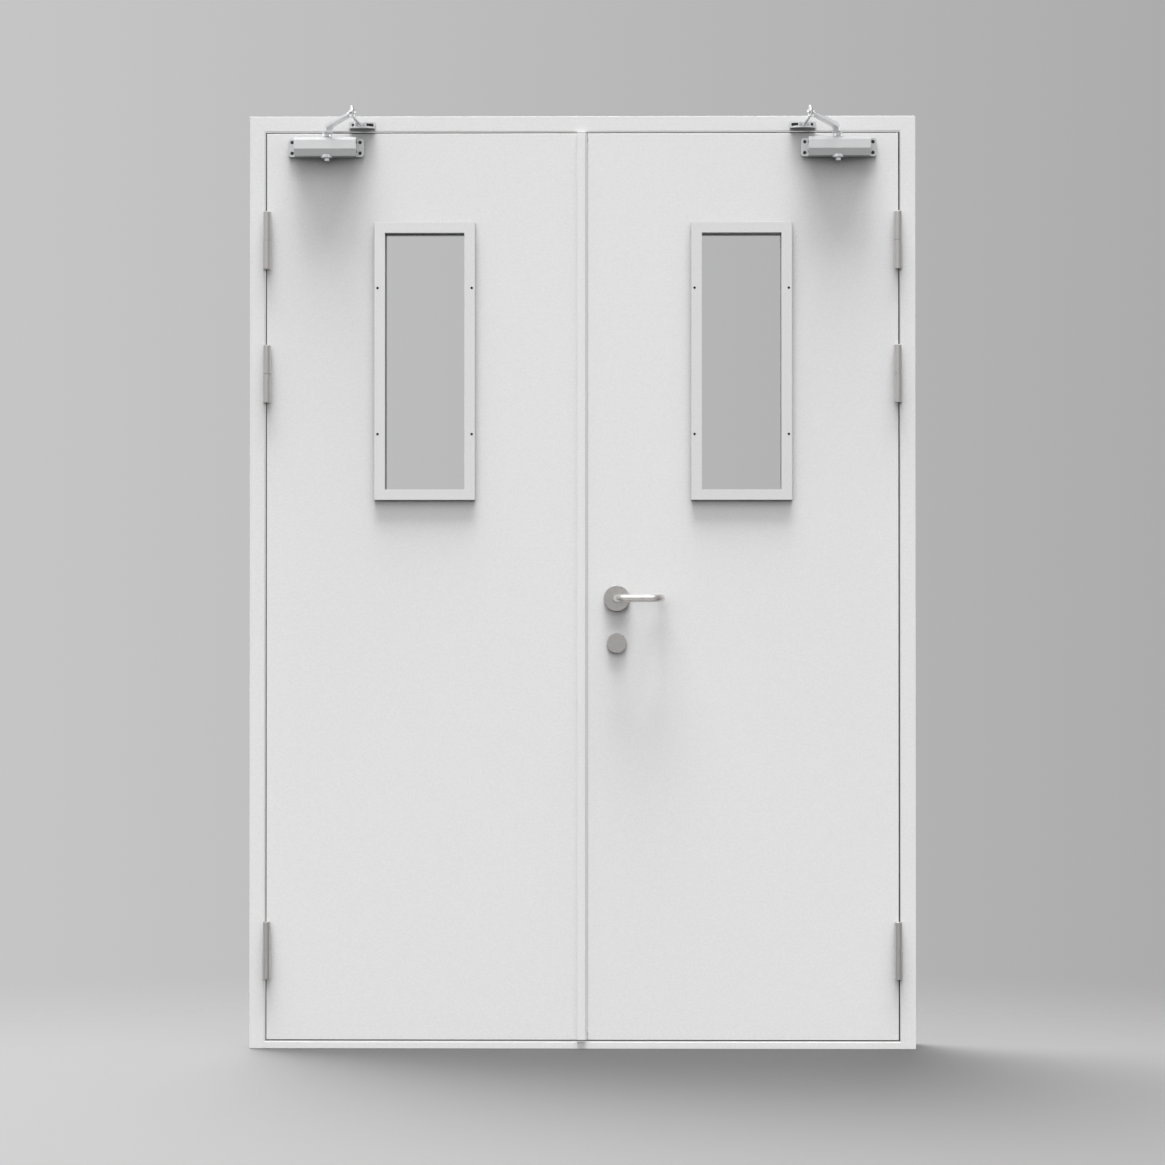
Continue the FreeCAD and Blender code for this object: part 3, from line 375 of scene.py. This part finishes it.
def makeHandling():    # faint smears from hands and cleaning, and dust that has settled on top
    group, given, out = startGroup(
        "handling",
        {"Smears": ("Float", 0.1), "Dust": ("Float", 0.1)},
        {"Smear": "Float", "Dust": "Float"},
    )
    where = addNode(group, "TexCoord").outputs["Object"]
    smear = addNoise(group, where, *handlingValues["smear"])
    strong = addRange(group, smear, handlingValues["smearBand"], (0, 1), "SMOOTHSTEP")
    group.links.new(addMath(group, "MULTIPLY", strong, given.outputs["Smears"]), out.inputs["Smear"])
    split = addNode(group, "SeparateXYZ")
    group.links.new(addNode(group, "NewGeometry").outputs["True Normal"], split.inputs[0])
    upward = addMath(group, "MAXIMUM", split.outputs["Z"], 0.0)
    above = addMath(group, "POWER", upward, handlingValues["settling"])
    patch = addNoise(group, where, *handlingValues["patch"])
    patch = addMath(group, "ADD", patch, handlingValues["patchLift"], clamp=True)
    fallen = addMath(group, "MULTIPLY", addMath(group, "MULTIPLY", above, patch), given.outputs["Dust"])
    group.links.new(fallen, out.inputs["Dust"])
    return group


effects = {
    "coatGrain": makeCoatGrain(),
    "softEdge": makeSoftEdge(),
    "brushing": makeBrushing(),
    "handling": makeHandling(),
}
print("effects:", ", ".join(effects))

# Finishes, one for each slot of the record and two for the screws


def addEffect(tree, name, **values):
    node = addNode(tree, "Group", node_tree=effects[name])
    for label, value in values.items():
        node.inputs[label].default_value = value
    return node


def blend(tree, share, base, over):
    mix = addNode(tree, "Mix", data_type="RGBA")
    for place, value in ((0, share), (6, base), (7, over)):    # 6 and 7 are the node's colour sockets
        feed(tree, mix.inputs[place], value)
    return mix.outputs[2]


dust = {"tone": (0.42, 0.40, 0.37, 1), "roughness": 0.4}


def finishSurface(tree, shader, look, edge, peel, marks, bounceLoss):
    radius, edgeHighlightTone, edgeShare = edge
    soft = addEffect(tree, "softEdge", Radius=radius)
    handling = addEffect(tree, "handling", Smears=marks[0], Dust=marks[1])
    # the edge colour laid over sharp edges is a painted highlight, a little darker on the satin steel
    edgeHighlightShare = addMath(tree, "MULTIPLY", soft.outputs["Edge"], edgeShare)
    colour = blend(tree, edgeHighlightShare, look.outputs["Color"], edgeHighlightTone)
    colour = blend(tree, handling.outputs["Dust"], colour, dust["tone"])
    bounced = addNode(tree, "LightPath").outputs["Is Diffuse Ray"]
    colour = blend(tree, addMath(tree, "MULTIPLY", bounced, bounceLoss), colour, (0, 0, 0, 1))
    tree.links.new(colour, shader.inputs["Base Color"])
    dusty = addMath(tree, "MULTIPLY", handling.outputs["Dust"], dust["roughness"])
    rough = addMath(tree, "ADD", look.outputs["Roughness"], handling.outputs["Smear"])
    tree.links.new(addMath(tree, "ADD", rough, dusty, clamp=True), shader.inputs["Roughness"])
    bump = addNode(tree, "Bump", Strength=peel[0], Distance=peel[1])
    tree.links.new(look.outputs["Height"], bump.inputs["Height"])
    tree.links.new(soft.outputs["Normal"], bump.inputs["Normal"])
    tree.links.new(bump.outputs[0], shader.inputs["Normal"])


# In every finish: edge is its radius (m), its colour and how much of it shows, peel is the bump's strength and
# height (m), marks are smears and dust, and bounceLoss is how much less light the surface throws back

# the edge colour in each paint is a painted highlight along its edges
paints = {
    "door_paint": {
        "tone": (0.84, 0.84, 0.84, 1), "gloss": 0.42, "fleck": 0.20, "metallic": 0.0,
        "edge": (0.0012, (0.9, 0.9, 0.9, 1), 0.5), "bounceLoss": 0.1,
    },
    "bezel_paint": {
        "tone": (0.84, 0.84, 0.84, 1), "gloss": 0.38, "fleck": 0.14, "metallic": 0.0,
        "edge": (0.0006, (0.88, 0.88, 0.88, 1), 0.4), "bounceLoss": 0.85,
    },
    "closer_paint": {
        "tone": (0.77, 0.78, 0.785, 1), "gloss": 0.34, "fleck": 0.04, "metallic": 0.2,
        "edge": (0.0010, (0.86, 0.87, 0.88, 1), 0.6), "bounceLoss": 0.85,
    },
}
paintSurface = {"specular": 0.45, "peel": (0.25, 0.0002), "marks": (0.05, 0.2)}


def makePaint(name):
    paint = paints[name]
    material, tree, shader = startMaterial(
        name, Specular_IOR_Level=paintSurface["specular"], Metallic=paint["metallic"])
    coat = addEffect(tree, "coatGrain", Tone=paint["tone"], Fleck=paint["fleck"], Gloss=paint["gloss"])
    finishSurface(
        tree, shader, coat, paint["edge"], paintSurface["peel"], paintSurface["marks"], paint["bounceLoss"])
    return material


steels = {
    # colour, gloss, direction of the brushing, streak depth, edge colour (the painted highlight along the
    # edges)
    "hinge_steel": ((0.75, 0.73, 0.71, 1), 0.42, (14, 14, 0.6), 0.16, (0.75, 0.74, 0.72, 1)),
    "satin_steel": ((0.77, 0.745, 0.725, 1), 0.28, (0.7, 9, 9), 0.08, (0.74, 0.72, 0.7, 1)),
    "arm_steel": ((0.85, 0.86, 0.87, 1), 0.30, (6, 6, 6), 0.06, (0.92, 0.92, 0.92, 1)),
    "screw_steel": ((0.08, 0.08, 0.082, 1), 0.42, (20, 20, 20), 0.3, (0.18, 0.18, 0.18, 1)),
    "screw_black": ((0.025, 0.025, 0.026, 1), 0.5, (20, 20, 20), 0.3, (0.04, 0.04, 0.04, 1)),
}
steelSurface = {
    "edgeRadius": 0.0006, "edgeShare": 0.5, "peel": (0.12, 0.0001), "marks": (0.08, 0.15), "bounceLoss": 0.5,
}


def makeSteel(name):
    tone, gloss, stretch, depth, edgeHighlightTone = steels[name]
    material, tree, shader = startMaterial(name, Metallic=1.0)
    brush = addEffect(tree, "brushing", Tone=tone, Gloss=gloss, Stretch=stretch, Depth=depth)
    edge = (steelSurface["edgeRadius"], edgeHighlightTone, steelSurface["edgeShare"])
    finishSurface(
        tree, shader, brush, edge, steelSurface["peel"], steelSurface["marks"], steelSurface["bounceLoss"])
    return material


softs = {
    # colour, gloss, fleck, bump height (m)
    "mineral_core": ((0.50, 0.46, 0.34, 1), 0.92, 0.5, 0.002),
    "smoke_seal": ((0.78, 0.78, 0.77, 1), 0.7, 0.12, 0.0003),
    "gasket_rubber": ((0.03, 0.03, 0.03, 1), 0.65, 0.2, 0.0002),
}
softSurface = {
    "specular": 0.3, "edgeRadius": 0.0008, "edgeShare": 0.2, "peelStrength": 0.5, "marks": (0.05, 0.3),
    "bounceLoss": 0.3,
}
sealGapShade = {"reach": 0.0022, "toneOf": "gasket_rubber"}    # a band painted dark along the seal next to the leaves' outline, as painted shade in the gap; reach is how far from the outline it goes


def makeGapShadeBand(tree):    # marks the band of the smoke seal next to the leaves' outline that is painted dark, as painted shade in the gap
    low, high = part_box("left_leaf_front_skin")[0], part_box("right_leaf_front_skin")[1]
    split = addNode(tree, "SeparateXYZ")
    tree.links.new(addNode(tree, "TexCoord").outputs["Object"], split.inputs[0])
    past = []
    for axis, letter in ((0, "X"), (2, "Z")):
        away = addMath(tree, "SUBTRACT", split.outputs[letter], (low[axis] + high[axis]) / 2)
        away = addMath(tree, "ABSOLUTE", away)
        past.append(addMath(tree, "SUBTRACT", away, (high[axis] - low[axis]) / 2))
    gap = addMath(tree, "MAXIMUM", *past)
    outside = addMath(tree, "GREATER_THAN", gap, 0.0)
    return addMath(tree, "MULTIPLY", outside, addMath(tree, "LESS_THAN", gap, sealGapShade["reach"]))


def makeSoft(name):
    tone, gloss, fleck, height = softs[name]
    material, tree, shader = startMaterial(name, Specular_IOR_Level=softSurface["specular"])
    coat = addEffect(tree, "coatGrain", Tone=tone, Fleck=fleck, Gloss=gloss)
    # the smoke seal is painted dark next to the leaves, in the rubber's tone: painted shade of the gap
    if name == "smoke_seal":
        gapShadeTone = softs[sealGapShade["toneOf"]][0]
        tree.links.new(blend(tree, makeGapShadeBand(tree), tone, gapShadeTone), coat.inputs["Tone"])
    edge = (softSurface["edgeRadius"], tone, softSurface["edgeShare"])
    peel = (softSurface["peelStrength"], height)
    finishSurface(tree, shader, coat, edge, peel, softSurface["marks"], softSurface["bounceLoss"])
    return material


pane = {"tone": (0.972, 0.975, 0.974, 1), "index": 1.5, "smears": 0.012}


def makeGlass():
    material, tree, shader = startMaterial(
        "glass", Base_Color=pane["tone"], Transmission_Weight=1.0, IOR=pane["index"])
    handling = addEffect(tree, "handling", Smears=pane["smears"], Dust=0.0)
    tree.links.new(handling.outputs["Smear"], shader.inputs["Roughness"])
    return material


def makeFinishes():
    made = {"glass": makeGlass()}
    made.update({name: makePaint(name) for name in paints})
    made.update({name: makeSteel(name) for name in steels})
    made.update({name: makeSoft(name) for name in softs})
    slots = {row["node"]: row["material_slot"] for row in frame["record"]["subparts"]}
    for node, item in frame["nodes"].items():
        for place in item.material_slots:
            place.material = made[slots[node]]
    return made


finishes = makeFinishes()
print("finishes:", len(finishes))

# Rings of corners, joined into the skin of a bar, a turned part or a screw


def ringOf(form, matrix, radii, height):
    count = len(radii)
    return [
        form.verts.new(matrix @ Vector((
            radius * math.cos(2 * math.pi * step / count),
            radius * math.sin(2 * math.pi * step / count),
            height,
        )))
        for step, radius in enumerate(radii)
    ]


def joinRings(form, rings, capped=False):
    count = len(rings[0])
    for near, far in zip(rings, rings[1:]):
        for step in range(count):
            after = (step + 1) % count
            form.faces.new((near[step], near[after], far[after], far[step]))
    if capped:
        form.faces.new(rings[-1])
        form.faces.new(list(reversed(rings[0])))


def makePiece(name, form, finish):
    mesh = bpy.data.meshes.new(name)
    form.to_mesh(mesh)
    form.free()
    mesh.materials.append(finishes[finish])
    piece = bpy.data.objects.new(name, mesh)
    bpy.context.scene.collection.objects.link(piece)
    addToGroup(name, piece)
    return piece


# Closer arms: a flat forged bar cranked up from its hub, with a turned eye and bolt at the elbow

armShape = {    # metres, with heights from the underside of the arm's solid
    "heelReach": 0.011, "start": 0.0005,             # where the bar rises from the hub
    "crankHeight": 0.0182, "elbowHeight": 0.0278,    # the bar's middle at the crank and at the elbow
    "bend": 0.010, "corner": 0.0034,                 # radii of the crank and of the bar's corners
    "width": (0.0185, 0.0125), "thick": (0.0115, 0.0082),    # at the hub and at the elbow
    "flange": 0.009,
    "bendSteps": 12, "runSteps": 11, "cornerSteps": 3, "turnedSides": 40,
    "axisRadius": 1e-6, "weld": 1e-5,    # rings on the axis are this small, and are welded to a point
    # radius and height of each ring, from the bottom up
    "hub": ((0.0, 0.0002), (0.0082, 0.0002), (0.0082, -0.0054), (0.0109, -0.0054), (0.0115, -0.0048),
            (0.0115, 0.0022), (0.0107, 0.0030), (0.0054, 0.0030), (0.0054, 0.0052), (0.0046, 0.0060),
            (0.0, 0.0060)),
    "eye": ((0.0, 0.0255), (0.0064, 0.0255), (0.0070, 0.0261), (0.0070, 0.0280), (0.0084, 0.0280),
            (0.0090, 0.0286), (0.0090, 0.0329), (0.0084, 0.0335), (0.0053, 0.0335), (0.0053, 0.0427),
            (0.0045, 0.0435), (0.0, 0.0435)),
}
joints = {row["name"]: row for row in frame["record"]["behaviour"]["joints"]}


def addTurned(form, matrix, profile):
    joinRings(form, [
        ringOf(form, matrix, [max(radius, armShape["axisRadius"])] * armShape["turnedSides"], height)
        for radius, height in profile
    ])


def barSection(wide, thick, corner):    # half sizes of a rectangle with rounded corners
    spots = []
    for turn, (across, up) in enumerate(((1, 1), (-1, 1), (-1, -1), (1, -1))):
        for step in range(armShape["cornerSteps"] + 1):
            angle = math.radians(90 * turn + 90 * step / armShape["cornerSteps"])
            spots.append((
                across * (wide - corner) + corner * math.cos(angle),
                up * (thick - corner) + corner * math.sin(angle),
            ))
    return spots


def armPath(span):    # reach, height and direction along the bar's middle
    heel, crank, bend = armShape["heelReach"], armShape["crankHeight"], armShape["bend"]
    upright = math.radians(90)
    slope = math.atan2(armShape["elbowHeight"] - crank, span - heel)
    turn = upright - slope
    short = bend * math.tan(turn / 2)
    path = [(heel, armShape["start"], upright), (heel, crank - short, upright)]
    for step in range(1, armShape["bendSteps"]):
        angle = turn * step / armShape["bendSteps"]
        reach, height = heel + bend * (1 - math.cos(angle)), crank - short + bend * math.sin(angle)
        path.append((reach, height, upright - angle))
    for step in range(armShape["runSteps"] + 1):
        along = short + (span - heel - 2 * short) * step / armShape["runSteps"]
        path.append((heel + along * math.cos(slope), crank + along * math.sin(slope), slope))
    return path


def barRing(form, hub, share, reach, height, angle):
    wide, thick = ((1 - share) * armShape[name][0] + share * armShape[name][1] for name in ("width", "thick"))
    return [
        form.verts.new(hub @ Vector((reach - out * math.sin(angle), across, height + out * math.cos(angle))))
        for across, out in barSection(wide / 2, thick / 2, armShape["corner"])
    ]


def makeArm(side, sign):
    low, high = (Vector(corner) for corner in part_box(f"{side}_closer_arm"))
    pinion = Vector(joints[f"{side}_arm_turn"]["pos_m"])
    pinion.z = low.z
    flange = armShape["flange"]
    elbow = Vector((low.x + flange if sign > 0 else high.x - flange, low.y + flange, low.z))
    along = (elbow - pinion).normalized()
    upward = Vector((0, 0, 1))
    turned = Matrix((along, upward.cross(along), upward)).transposed().to_4x4()
    span = (elbow - pinion).length
    form = bmesh.new()
    hub = Matrix.Translation(pinion) @ turned
    addTurned(form, hub, armShape["hub"])
    addTurned(form, Matrix.Translation(elbow) @ turned, armShape["eye"])
    rings = [barRing(form, hub, reach / span, reach, height, angle) for reach, height, angle in armPath(span)]
    joinRings(form, rings, capped=True)
    bmesh.ops.remove_doubles(form, verts=form.verts, dist=armShape["weld"])
    bmesh.ops.recalc_face_normals(form, faces=form.faces)
    arm = makePiece(f"{side}_forged_arm", form, "arm_steel")
    for face in arm.data.polygons:
        face.use_smooth = True
    arm.modifiers.new("evenShading", "WEIGHTED_NORMAL")
    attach(arm, f"{side}_arm")
    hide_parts(f"{side}_closer_arm")


# Screws: radius, rise over the seat, chamfered rim, half width and depth of the socket, depth under the seat,
# and then their places, all in metres

screwSides = 24    # a multiple of 6, for the socket's corners


def addScrew(form, spot, facing, head):    # a round head with a chamfered rim and a hexagon socket
    matrix = Matrix.Translation(spot) @ Vector(facing).to_track_quat("Z", "Y").to_matrix().to_4x4()
    radius, rise, rim = head["radius"], head["rise"], head["rim"]
    sixth = math.pi / 3
    hexagon = [
        head["socket"] * math.cos(sixth / 2) / math.cos((2 * math.pi * step / screwSides) % sixth - sixth / 2)
        for step in range(screwSides)
    ]
    joinRings(form, [
        ringOf(form, matrix, [radius] * screwSides, -head["sunk"]),
        ringOf(form, matrix, [radius] * screwSides, rise - rim),
        ringOf(form, matrix, [radius - rim] * screwSides, rise),
        ringOf(form, matrix, hexagon, rise),
        ringOf(form, matrix, hexagon, rise - head["deep"]),
    ], capped=True)


def makeScrews(name, spots, facing, head, body):
    form = bmesh.new()
    for spot in spots:
        addScrew(form, spot, facing, head)
    piece = makePiece(name, form, head["finish"])
    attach(piece, body)


def middleOf(node):
    low, high = (Vector(corner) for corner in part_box(node))
    return (low + high) / 2, low, high


bezelScrews = {
    "finish": "screw_black", "radius": 0.0028, "rise": 0.0007, "rim": 0.0003, "socket": 0.0014,
    "deep": 0.0006, "sunk": 0.001, "inFromEdge": 0.0075, "fromMiddle": 0.1646,
}


def makeBezelScrews(side, face, way):
    middle, low, high = middleOf(f"{side}_window_{face}_bezel")
    outer = low.y if way < 0 else high.y
    across = (high.x - low.x) / 2 - bezelScrews["inFromEdge"]
    spots = [
        (middle.x + x * across, outer, middle.z + z * bezelScrews["fromMiddle"])
        for x in (-1, 1) for z in (-1, 1)
    ]
    makeScrews(f"{side}_{face}_bezel_screws", spots, (0, way, 0), bezelScrews, f"{side}_leaf")


closerScrews = {    # four on the lugs, whose thickness is proud and length lug; underTop is from the leaf's top
    "finish": "screw_steel", "radius": 0.0036, "rise": 0.0028, "rim": 0.0003, "socket": 0.0021,
    "deep": 0.002, "sunk": 0.0, "proud": 0.0032, "inFromEnd": 0.0085, "fromMiddle": 0.0122,
    "underTop": 0.033, "lug": 0.0155,
}
valveScrews = {    # two on the end of the closer's body that faces the meeting edge
    "finish": "screw_steel", "radius": 0.0032, "rise": 0.0006, "rim": 0.0003, "socket": 0.0014,
    "deep": 0.0005, "sunk": 0.001, "reach": 0.024, "fromMiddle": 0.0105,
}


def makeCloserScrews(side):
    middle, low, high = middleOf(f"{side}_closer_body")
    half = (high.x - low.x) / 2
    across = half - closerScrews["inFromEnd"]
    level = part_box(f"{side}_leaf_front_skin")[1][2] - closerScrews["underTop"]
    spots = [
        (middle.x + x * across, high.y - closerScrews["proud"], level + z * closerScrews["fromMiddle"])
        for x in (-1, 1) for z in (-1, 1)
    ]
    makeScrews(f"{side}_closer_screws", spots, (0, -1, 0), closerScrews, f"{side}_leaf")
    inward = 1 if side == "left" else -1
    end = middle.x + inward * (half - closerScrews["lug"])
    spots = [(end, high.y - valveScrews["reach"], level + z * valveScrews["fromMiddle"]) for z in (-1, 1)]
    makeScrews(f"{side}_closer_valves", spots, (inward, 0, 0), valveScrews, f"{side}_leaf")


shoeScrews = {    # one in the shoe's round hole and one in its slot, either side of its middle
    "finish": "screw_steel", "radius": 0.0029, "rise": 0.0028, "rim": 0.0003, "socket": 0.0016,
    "deep": 0.0018, "sunk": 0.0, "proud": 0.010, "hole": 0.0202, "slot": 0.018,
}


def makeShoeScrews(side, sign):
    middle, _, high = middleOf(f"{side}_closer_shoe")
    spots = [
        (middle.x + sign * away, high.y - shoeScrews["proud"], middle.z)
        for away in (shoeScrews["hole"], -shoeScrews["slot"])
    ]
    makeScrews(f"{side}_shoe_screws", spots, (0, -1, 0), shoeScrews, "frame")


faceplateScrews = {
    "finish": "screw_steel", "radius": 0.0035, "rise": 0.0002, "rim": 0.0001, "socket": 0.0016,
    "deep": 0.0002, "sunk": 0.0005, "fromEnd": 0.012,
}


def makeFaceplateScrews():
    middle, low, high = middleOf("lock_faceplate")
    inset = faceplateScrews["fromEnd"]
    spots = [(low.x, middle.y, level) for level in (low.z + inset, high.z - inset)]
    makeScrews("lock_faceplate_screws", spots, (-1, 0, 0), faceplateScrews, "right_leaf")


for side, sign in (("left", -1), ("right", 1)):
    makeArm(side, sign)
    makeBezelScrews(side, "front", -1)
    makeBezelScrews(side, "back", 1)
    makeCloserScrews(side)
    makeShoeScrews(side, sign)
makeFaceplateScrews()
print("arms and screws placed")
